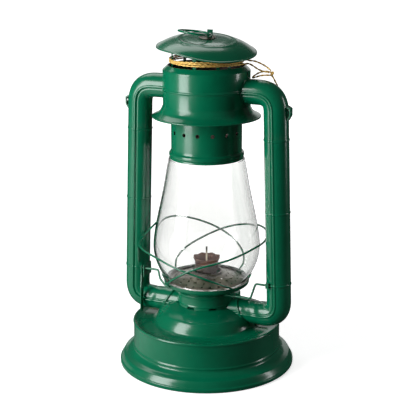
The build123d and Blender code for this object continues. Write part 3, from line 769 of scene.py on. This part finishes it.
# a ring of wire round an arm, at the distance from the axis that its place round the arm gives
def armRing(name, side, radius, height, wire, distance):
    points = []
    for k in range(flanges["points"]):
        a = 2 * pi * k / flanges["points"]
        y, z = radius * cos(a), radius * sin(a)
        points.append(Vector((side * distance(y, sin(a)), y, height + z)) * mm)
    ring = wirePiece(name, points, wire * mm, closed=True)
    finishPiece(ring, "frame", "enamel")


def makeTubes():
    low, high, lap = tubes["lowJoint"], tubes["highJoint"], tubes["overlap"]
    for side, hand in ((-1, "left"), (1, "right")):
        armPath = tubePath([(side * tubes["armRoot"], 0, tubes["arm"]),
                            (side * tubes["footX"], 0, tubes["arm"]),
                            (side * tubeX(low), 0, low)], [tubes["bend"]], run=1.6)
        lower = sweptTube("lowerElbow" + hand.title(), [(armPath, [seamSection()])], side, wrinkle=armWrinkle)
        finishPiece(lower, "frame", "enamel", ["lower_elbow_" + hand])
        path = tubePath([(side * tubeX(z), 0, z) for z in (low - lap, high + lap)], [])
        upright = sweptTube("sideTube" + hand.title(), [(path, [seamSection(tubes["sleeve"])])], side)
        finishPiece(upright, "frame", "enamel", ["side_tube_" + hand])
        headPath = tubePath([(side * tubes["headRoot"], 0, tubes["head"]),
                             (side * tubes["headX"], 0, tubes["head"]), (side * tubeX(high), 0, high)],
                            [tubes["bend"]])
        upper = sweptTube("upperElbow" + hand.title(), [(headPath, [seamSection()])], side)
        finishPiece(upper, "frame", "enamel", ["upper_elbow_" + hand])
        middle = (low + high) / 2 + crimpShape["pastMiddle"]
        crimps = [crimp(low + crimpShape["aboveLow"], side),
                  crimp(middle, side, crimpShape["middleProud"], crimpShape["middleWidth"]),
                  crimp(high - crimpShape["belowHigh"], side)]
        rings = sweptTube("crimpRings" + hand.title(), crimps, side)
        finishPiece(rings, "frame", "enamel", ["tube_rings_" + hand])
        # the turned flange where the arm meets the dome leans with the slope, and the upper one fits the hood
        armRing("armFlange" + hand.title(), side, flanges["armRadius"], tubes["arm"], flanges["armWire"],
                lambda y, upward: flanges["armAt"] - flanges["armLean"] * upward)
        armRing("hoodFlange" + hand.title(), side, flanges["hoodRadius"], tubes["head"], flanges["hoodWire"],
                lambda y, upward: sqrt(flanges["hoodAt"] ** 2 - y * y))
        near, far, deep = solderLines[hand]
        line = [Vector((near + (far - near) * t, deep - 0.6 * sin(pi * t), solderLines["height"])) * mm
                for t in (0, 0.3, 0.7, 1)]
        solder = wirePiece("solderLine" + hand.title(), line, solderLines["wire"] * mm)
        finishPiece(solder, "frame", "brass")


makeTubes()
print("side tubes made")


hoodShape = {"radius": 47.0, "top": 336.5, "bottom": 280.3, "flare": 59.1, "seamAzimuth": 150,
             "seamHeight": 0.45, "seamWidth": 2.2}


def makeHood():
    r, flare, top, bottom = hoodShape["radius"], hoodShape["flare"], hoodShape["top"], hoodShape["bottom"]
    line = roundedLine([(r - 6.4, top - 1.6), (r - 5.6, top), (r - 1.6, top - 3.6), (r + 0.1, top - 5.2),
                        (r, top - 8.5), (r, top - 23.4), (r + 1.1, top - 25.2), (r, top - 27),
                        (r, bottom + 13), (r + 3.2, bottom + 6.4), (flare - 2.4, bottom + 2.2),
                        (flare - 0.1, bottom + 1.6), (flare - 0.2, bottom + 0.1),
                        (flare - 2.4, bottom + 0.5)],
                       [0.8, 3.0, 1.2, 3.0, 1.6, 0.9, 1.6, 6.0, 9.0, 5.0, 0.8, 0.8])

    def seam(x, z, a):
        gap = turnFrom(a, hoodShape["seamAzimuth"])
        return hoodShape["seamHeight"] * exp(-(gap * x / hoodShape["seamWidth"]) ** 4), 0

    hood = lathe("hood", sheetLoop(line, 0.8), 192, ripple=seam)
    finishPiece(hood, "frame", "enamel", ["hood"])
    # painted shade on the hood's inner faces
    paintShadeInside(hood)


makeHood()
print("hood made")


chimneyShape = {"radius": 38.5, "top": 330.0, "bottom": 235.0, "holes": 15, "hole": 4.4, "holeHeight": 265.4,
                "firstHole": 33.5, "seat": 290.0, "seatWidth": 2.2, "sheet": 0.8}


# the shapes in a bmesh cut out of a piece
def cutPiece(piece, shapes):
    mesh = bpy.data.meshes.new("cutter")
    shapes.to_mesh(mesh)
    shapes.free()
    cutter = bpy.data.objects.new("cutter", mesh)
    bpy.context.scene.collection.objects.link(cutter)
    knife = piece.modifiers.new("holes", "BOOLEAN")
    knife.operation, knife.object, knife.solver = "DIFFERENCE", cutter, "EXACT"
    bpy.context.view_layer.update()
    ready = piece.evaluated_get(bpy.context.evaluated_depsgraph_get())
    cut = bpy.data.meshes.new_from_object(ready)
    piece.modifiers.remove(knife)
    piece.data = cut
    bpy.data.objects.remove(cutter)
    cut.set_sharp_from_angle(angle=radians(35))


def makeChimney():
    r, top, bottom = chimneyShape["radius"], chimneyShape["top"], chimneyShape["bottom"]
    line = roundedLine([(r, top), (r, bottom + 11), (r + 0.2, bottom + 8.6), (r + 2.3, bottom + 6.8),
                        (r + 2.4, bottom + 3.4), (r + 0.9, bottom + 2.2), (r + 1.6, bottom + 0.2)],
                       [3.0, 1.2, 1.6, 1.6, 0.8], 15)
    chimney = lathe("perforatedChimney", sheetLoop(splitLine(line, 6), chimneyShape["sheet"]), 180)
    cutter = bmesh.new()
    for hole in range(chimneyShape["holes"]):
        azimuth = chimneyShape["firstHole"] + hole * 360 / chimneyShape["holes"]
        place = (Matrix.Translation(around(r, azimuth, chimneyShape["holeHeight"]))
                 @ Matrix.Rotation(radians(azimuth), 4, "Z") @ Matrix.Rotation(radians(90), 4, "X"))
        half = chimneyShape["hole"] / 2 * mm
        bmesh.ops.create_cone(cutter, cap_ends=True, segments=24, radius1=half, radius2=half, depth=8 * mm,
                              matrix=place)
    cutPiece(chimney, cutter)
    finishPiece(chimney, "canopy", "enamel", ["perforated_chimney"])
    # painted shade on the chimney's inner faces
    paintShadeInside(chimney)
    height = chimneyShape["seat"] + chimneyShape["sheet"]
    shelf = [Vector((r - 0.4, height)), Vector((r + chimneyShape["seatWidth"], height))]
    seat = lathe("springSeat", sheetLoop(shelf, chimneyShape["sheet"]), 128)
    finishPiece(seat, "canopy", "enamel")


makeChimney()
print("chimney made")


capShape = {"radius": 54.0, "rise": 13.0, "height": 353.0, "tilt": 8.0, "toward": 48.0, "bead": 31.0,
            "beadHeight": 0.55, "sheet": 0.7, "bent": 4.6, "bentAzimuth": -16, "bentSpread": 0.62}
capUp = (Matrix.Rotation(radians(capShape["toward"] - 90), 3, "Z")
         @ Matrix.Rotation(radians(capShape["tilt"]), 3, "Y") @ Vector((0, 0, 1)))
capMiddle = Vector((0, 0, capShape["height"])) * mm
capPlace = Matrix.Translation(capMiddle) @ Vector((0, 0, 1)).rotation_difference(capUp).to_matrix().to_4x4()


# flat in the middle and steeper towards the rim
def capTop(r):
    return capShape["rise"] * (1 - (r / capShape["radius"]) ** 3.4)


def makeCap():
    bead = capShape["bead"]
    line = []
    for r in np.linspace(0, capShape["radius"] - 1.6, 46):
        raised = capShape["beadHeight"] * exp(-((r - bead) / 1.7) ** 2)
        hollow = 0.25 * exp(-((r - bead + 4) / 2.4) ** 2)
        line.append(Vector((r, capTop(r) - 1.0 + (raised - hollow))))
    rim, low = capShape["radius"], capTop(capShape["radius"] - 1.6) - 1.0
    line += roundedLine([(rim - 1.5, low), (rim - 0.1, low - 0.4), (rim - 0.1, -1.4), (rim - 2.2, -1.4),
                         (rim - 2.2, -0.4)], [0.7, 0.9, 0.9], 20)

    def pressed(x, z, a):
        # the rim is bent up at the front left, and a little uneven elsewhere
        gap = turnFrom(a, capShape["bentAzimuth"])
        bent = capShape["bent"] * exp(-(gap / capShape["bentSpread"]) ** 2) * max(0, (x - 22) / 32) ** 1.6
        rimWave = 0.15 * sin(5 * a + 0.7) * exp(-((x - 48) / 6) ** 2)
        topWave = 0.1 * sin(3 * a) * exp(-((x - 20) / 12) ** 2)
        return 0, bent + rimWave + topWave

    cap = lathe("cap", sheetLoop(line, capShape["sheet"]), 192, place=capPlace, ripple=pressed)
    finishPiece(cap, "canopy", "enamel", ["cap"])
    # painted shade on the cap's inner and downward faces
    paintShadeInside(cap, 0.4)


# a flat strip along a line in metres, with the direction across it and its width at each point
def stripPiece(name, line, over, widths, thickness):
    points, rows = [], len(line)
    for i, at in enumerate(line):
        along = (line[min(i + 1, rows - 1)] - line[max(i - 1, 0)]).normalized()
        face = along.cross(over).normalized()
        half = widths[i] / 2
        bevel = min(0.25 * mm, thickness * 0.3)
        for u, v in ((-half, -1), (-half, 1), (-half + bevel, 1), (half - bevel, 1), (half, 1), (half, -1),
                     (half - bevel, -1), (-half + bevel, -1)):
            inset = 0.6 if abs(u) == half else 1.0
            points.append(at + over * u + face * (v * thickness / 2 * inset))
    count = 8
    faces = gridFaces(0, rows, count) + [list(range(count)), list(range((rows - 1) * count, rows * count))]
    return meshPiece(name, points, faces, sharp=30)


legShape = {"count": 6, "phase": 4.0, "width": 3.8, "inside": 37.0, "low": 318.5, "straightTo": 338,
            "foot": 9.0, "underCap": 2.7, "thickness": 0.9}


# a place on the underside of the cap
def underCap(r, azimuth):
    spot = around(r, azimuth)
    lean = -(capUp[0] * spot[0] + capUp[1] * spot[1]) / capUp[2]
    height = capShape["height"] * mm + lean + (capTop(r) - legShape["underCap"]) * mm
    return Vector((spot[0], spot[1], height))


def makeLegs():
    made = []
    for leg in range(legShape["count"]):
        azimuth = legShape["phase"] + 360 / legShape["count"] * leg
        low = around(legShape["inside"], azimuth, legShape["low"])
        straight = around(legShape["inside"], azimuth, legShape["straightTo"])
        # up to just under the cap, then folded outwards against it
        head = underCap(legShape["inside"], azimuth)
        outside = underCap(legShape["inside"] + legShape["foot"], azimuth)
        line = roundedLine([low, straight, head - Vector((0, 0, 0.4 * mm)), outside], [6 * mm, 2.0 * mm], 14)
        dense = splitLine(line, 2.5 * mm)
        broad = []
        for p in dense:
            spread = (p[2] - head[2]) / (6 * mm) + 1  # the leg broadens over its last six millimetres
            broad.append(legShape["width"] * mm * (1 + 0.9 * max(0, spread)))
        made.append(stripPiece("capLeg", dense, around(1000, azimuth + 90), broad,
                               legShape["thickness"] * mm))
    finishPiece(joinPieces(made, "capLegs"), "canopy", "enamel", ["cap_legs"])


ringShape = {"radius": 16.6 * mm, "slack": 1.0065, "wire": 2.4 * mm, "azimuth": 24.0, "leanAlong": -0.13,
             "leanBack": -0.02, "warp": 0.3 * mm, "points": 32}
stapleShape = {"radius": 9.5, "crown": 0.55, "oval": 0.12, "sheet": 0.4}


def makeLiftRing():
    low, high = (Vector(c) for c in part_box("lift_ring"))
    turn = radians(ringShape["azimuth"])
    along = Vector((cos(turn), sin(turn), ringShape["leanAlong"])).normalized()
    back = Vector((-sin(turn), cos(turn), ringShape["leanBack"])).normalized()
    up = along.cross(back).normalized()
    loop = []
    for k in range(ringShape["points"]):
        a = 2 * pi * k / ringShape["points"]
        arm = (along * cos(a) + back * sin(a)) * ringShape["radius"] * ringShape["slack"]
        loop.append((low + high) / 2 + arm + up * ringShape["warp"] * sin(2 * a))
    ring = wirePiece("liftRing", loop, ringShape["wire"], closed=True)
    finishPiece(ring, "lift_ring", "enamel", ["lift_ring"])


# the pale oval plate under the staple
def makeStaplePlate():
    r = stapleShape["radius"]
    line = []
    for x in np.linspace(0, r, 12):
        line.append(Vector((x, capTop(x) - 0.1 + stapleShape["crown"] * (1 - (x / r) ** 4))))

    def oval(x, z, a):
        return x * stapleShape["oval"] * cos(2 * a), 0

    plate = lathe("staplePlate", sheetLoop(line, stapleShape["sheet"]), 64, place=capPlace, ripple=oval)
    finishPiece(plate, "canopy", "bareSteel")


makeCap()
makeLegs()
makeLiftRing()
makeStaplePlate()
print("cap, legs and lift ring made")


# the control line lies a little inside the glass, because its curve cuts the corners
globeShape = {"glass": 1.8, "outside": 0.25,
              "line": [(43.2, 96.0), (48.6, 103.0), (52.7, 110), (56.2, 118.5), (58.2, 127), (59.0, 134.5),
                       (58.6, 142.5), (56.8, 156), (53.3, 173), (49.6, 190), (46.1, 207), (43.1, 226),
                       (41.3, 234.7)]}


# a smooth line through control points, as a spline gives it
def smoothLine(points, resolution=6):
    guide = wirePiece("guide", [Vector((p[0], 0, p[1])) for p in points], 1.0, order=4, resolution=resolution)
    line = [Vector((p[0], p[2])) for p in curveLine(guide)]
    bpy.data.objects.remove(guide)
    return line


def makeGlobe():
    outer = smoothLine([(r + globeShape["outside"], z) for r, z in globeShape["line"]])[::-1]
    globe = lathe("globe", sheetLoop(outer, globeShape["glass"]), 160, sharp=60)
    finishPiece(globe, "globe_carrier", "glass", ["globe"])


guardWire = 2.2
# each guard wire's radius, azimuth and height: one is high at the left, the other at the right
leftHigh = [(48.3, 62, 95), (53.5, 54, 100.5), (58.5, 40, 107), (60.8, 25, 114.5), (60.8, 11, 119.5),
            (60.8, -3, 123), (60.8, -17, 126), (61.5, -32, 129), (66.5, -46, 131.5), (73, -60, 133),
            (77.5, -73, 134.5), (73.0, -80.5, 140), (68.6, -87, 146.5), (64.0, -94, 153), (62.0, -104, 157),
            (60.8, -118, 156), (60.8, -132, 152.5), (60.8, -146, 148), (60.8, -160, 142.5),
            (60.8, -174, 136), (60.8, 172, 127.5), (60.8, 160, 117), (57.5, 151, 106), (52.5, 150, 99),
            (48.3, 152, 95)]
rightHigh = [(48.3, -34, 95), (54.0, -29, 99), (60.5, -21, 105), (62.8, -9, 114), (62.8, 5, 123.5),
             (62.8, 19, 129.5), (62.8, 33, 133), (62.8, 47, 136), (63.0, 61, 139.5), (64.5, 74, 143),
             (68.0, 84, 146), (69.2, 92, 148), (68.6, 102, 151), (66.5, 114, 153), (63.8, 128, 152.5),
             (62.8, 143, 150.5), (62.8, 157, 147.5), (62.8, 171, 143.5), (62.8, -175, 138), (62.8, -161, 131),
             (62.8, -147, 123), (62.8, -134, 116), (60.0, -122, 108.5), (54.5, -112, 101), (48.3, -107, 95)]


def makeGuard():
    for points, name in ((leftHigh, "left"), (rightHigh, "right")):
        line = [around(r, azimuth, z) for r, azimuth, z in points]
        wire = wirePiece("guard" + name.title(), line, guardWire * mm, order=4)
        finishPiece(wire, "globe_carrier", "enamel", ["guard_" + name])


# two groups of teeth that hold the glass: each tooth's radius, height and width from its root to its tip
prongShape = {"groups": (-60, 108), "teeth": 4, "apart": 6.5, "thickness": 0.6,
              "tooth": [(47.3, 94.5, 4.4), (47.4, 97.0, 4.4), (48.2, 99.0, 3.6), (49.6, 101.6, 1.8),
                        (50.4, 103.0, 0.7)]}


def makeProngs():
    made = []
    for middle in prongShape["groups"]:
        for tooth in range(prongShape["teeth"]):
            azimuth = middle + (tooth - (prongShape["teeth"] - 1) / 2) * prongShape["apart"]
            line = [around(r, azimuth, z) for r, z, width in prongShape["tooth"]]
            widths = [width * mm for r, z, width in prongShape["tooth"]]
            made.append(stripPiece("prong", line, around(1000, azimuth + 90), widths,
                                   prongShape["thickness"] * mm))
    finishPiece(joinPieces(made, "globeProngs"), "globe_carrier", "enamel")


makeGlobe()
makeGuard()
makeProngs()
print("globe, guard and prongs made")


crankShape = {"line": [(-75.5, -13, 102.5), (-54, -13, 102.5), (-50, -16.5, 93.5), (-42, -19, 87),
                       (60.5, -19, 87), (64, -13, 102.5), (86, -13, 102.5)],
              "bends": [3, 6, 6, 3, 3], "wire": 2.4}
leverShape = {"line": [(-74.6, -13, 106.2), (-74.2, -13.0, 96), (-73.2, -16.5, 80), (-73.4, -17.2, 64),
                       (-73.4, -17.2, 51.4)],
              "bends": [20, 20, 30], "width": 6.6, "thickness": 1.2, "endRadius": 3.3, "narrowAbove": 90,
              "narrow": 0.86}


def makeCrank():
    bends = [b * mm for b in crankShape["bends"]]
    points = roundedLine([Vector(p) * mm for p in crankShape["line"]], bends, 12)
    crank = wirePiece("liftCrank", points, crankShape["wire"] * mm, order=2)
    finishPiece(crank, "crank", "enamel", ["lift_crank"])


# a bent strip with rounded ends, narrower at its upper end
def makeLever():
    line = roundedLine([Vector(p) * mm for p in leverShape["line"]], [b * mm for b in leverShape["bends"]], 5)
    dense = splitLine(line, 2.0 * mm)
    low, high, rounding = dense[-1][2], dense[0][2], leverShape["endRadius"]
    widths = []
    for p in dense:
        fromEnd = min(min(p[2] - low, high - p[2]) / mm, rounding)
        rounded = sqrt(max(0.06, 1 - (1 - fromEnd / rounding) ** 2))
        below = min(1, max(0, (leverShape["narrowAbove"] - p[2] / mm) / 8))
        taper = leverShape["narrow"] + (1 - leverShape["narrow"]) * below
        widths.append(leverShape["width"] * mm * rounded * taper)
    lever = stripPiece("liftLever", dense, Vector((0, 1, 0)), widths, leverShape["thickness"] * mm)
    finishPiece(lever, "crank", "enamel", ["lift_lever"])


makeCrank()
makeLever()
print("crank and lever made")


collarShape = {"radius": 32.5, "low": 69.0, "high": 84.0, "slots": 8, "firstSlot": -9, "slotWidth": 9.0,
               "slotHeight": 2.4}


def makeCollar():
    r, low, high = collarShape["radius"], collarShape["low"], collarShape["high"]
    line = roundedLine([(r - 1.5, high + 0.1), (r + 0.5, high + 0.1), (r + 0.4, high - 1.6),
                        (r - 0.1, high - 3.0), (r - 0.1, low + 4.4), (r + 0.5, low + 3.4), (r, low + 2.4),
                        (r + 0.3, low - 0.6)],
                       [0.6, 0.8, 1.4, 2.0, 0.8, 1.0])
    collar = lathe("burnerCollar", sheetLoop(line, 0.8), 144)
    cutter = bmesh.new()
    for slot in range(collarShape["slots"]):
        azimuth = collarShape["firstSlot"] + slot * 360 / collarShape["slots"]
        size = Matrix.Diagonal((collarShape["slotWidth"], 4, collarShape["slotHeight"], 1 / mm)) * mm
        place = Matrix.Translation(around(r, azimuth, low + 1.0)) @ Matrix.Rotation(radians(azimuth), 4, "Z")
        bmesh.ops.create_cube(cutter, size=1, matrix=place @ size)
    cutPiece(collar, cutter)
    finishPiece(collar, "frame", "enamel", ["burner_collar"])
    # painted shade on the collar's inner faces
    paintShadeInside(collar)


makeCollar()


# the cone's rim is cut into eight pointed corners
coneShape = {"rim": 15.1, "corners": 8, "cutFrom": 116, "cutOver": 5, "outward": (1.0, 0.6),
             "upward": (0.9, 0.7)}
wickShape = {"azimuth": 204, "halfWidth": 6.2, "halfThickness": 0.9, "fray": 0.5, "frayFrom": 0.985,
             "cords": 22, "rows": 60, "columns": 14}


def makeBurner():
    def corners(x, z, a):
        wave = abs(((a * coneShape["corners"] / (2 * pi)) % 1) * 2 - 1)
        high = max(0, (z - coneShape["cutFrom"]) / coneShape["cutOver"])
        (out, inBy), (up, downBy) = coneShape["outward"], coneShape["upward"]
        return high * (out * wave - inBy), high * (up * wave - downBy)

    line = roundedLine([(coneShape["rim"], 121.6), (12.6, 115.6), (12.4, 107.0), (9.0, 106.6)], [6, 0.8])
    cone = lathe("burnerCone", sheetLoop(line, 0.7), 96, ripple=corners)
    finishPiece(cone, "frame", "rustyCone", ["burner_cone"])
    sleeveLine = [Vector((12.9, 114.8)), Vector((13.1, 114.2)), Vector((12.9, 113.6)), Vector((12.9, 106.8))]
    sleeve = lathe("burnerSleeve", sheetLoop(sleeveLine, 0.4), 96)
    finishPiece(sleeve, "frame", "sootAndShadeSteel")


# a flat woven strip, frayed at its top edge
def makeWick():
    low, high = (Vector(c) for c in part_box("wick"))
    over, face = around(1000, wickShape["azimuth"]), around(1000, wickShape["azimuth"] + 90)
    rows, columns, fray = wickShape["rows"], wickShape["columns"], wickShape["fray"] * mm
    count = 2 * columns
    points = []
    for i in range(rows + 1):
        t = i / rows
        z, frayed = low[2] + (high[2] - low[2]) * t, t > wickShape["frayFrom"]
        for k in range(count):
            u = (k if k < columns else count - 1 - k) / (columns - 1) * 2 - 1
            cord = 0.06 * mm * sin(u * wickShape["cords"])
            half = wickShape["halfThickness"] * mm * sqrt(max(0.15, 1 - u ** 6)) + cord
            ragged = (fray * sin(9 * u + 2) - fray) * frayed
            sideways = over * wickShape["halfWidth"] * mm * u + face * (half if k < columns else -half)
            points.append(sideways + Vector((0, 0, z + ragged)))
    ends = [list(range(count)), list(range(rows * count, (rows + 1) * count))]
    faces = gridFaces(0, rows + 1, count) + ends
    finishPiece(meshPiece("wick", points, faces, sharp=50), "wick", "wick", ["wick"])


makeBurner()
makeWick()
print("burner and wick made")


# the parts that keep their own shape, by finish
kept = {
    "enamel": ["hood_guide_ring", "bail_ear_left", "bail_ear_right", "filler_neck", "filler_cap",
               "globe_plate", "ring_staple", "lever_guide", "crank_bracket", "crank_bearing", "burner_plate",
               "wick_knob"],
    "tinplate": ["tank_bottom"],
    "bareSteel": ["draught_plate", "draught_collar", "canopy_spring", "wick_shaft"],
    "sootAndShadeSteel": ["burner_body", "wick_tube"],
    "brass": ["wick_wheels"],
    "rubber": ["filler_gasket"],
}
for surface, names in kept.items():
    for name in names:
        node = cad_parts[name]
        for place in node.material_slots:
            place.material = surfaces[surface]
        if not node.material_slots:
            node.data.materials.append(surfaces[surface])
print("kept parts finished")
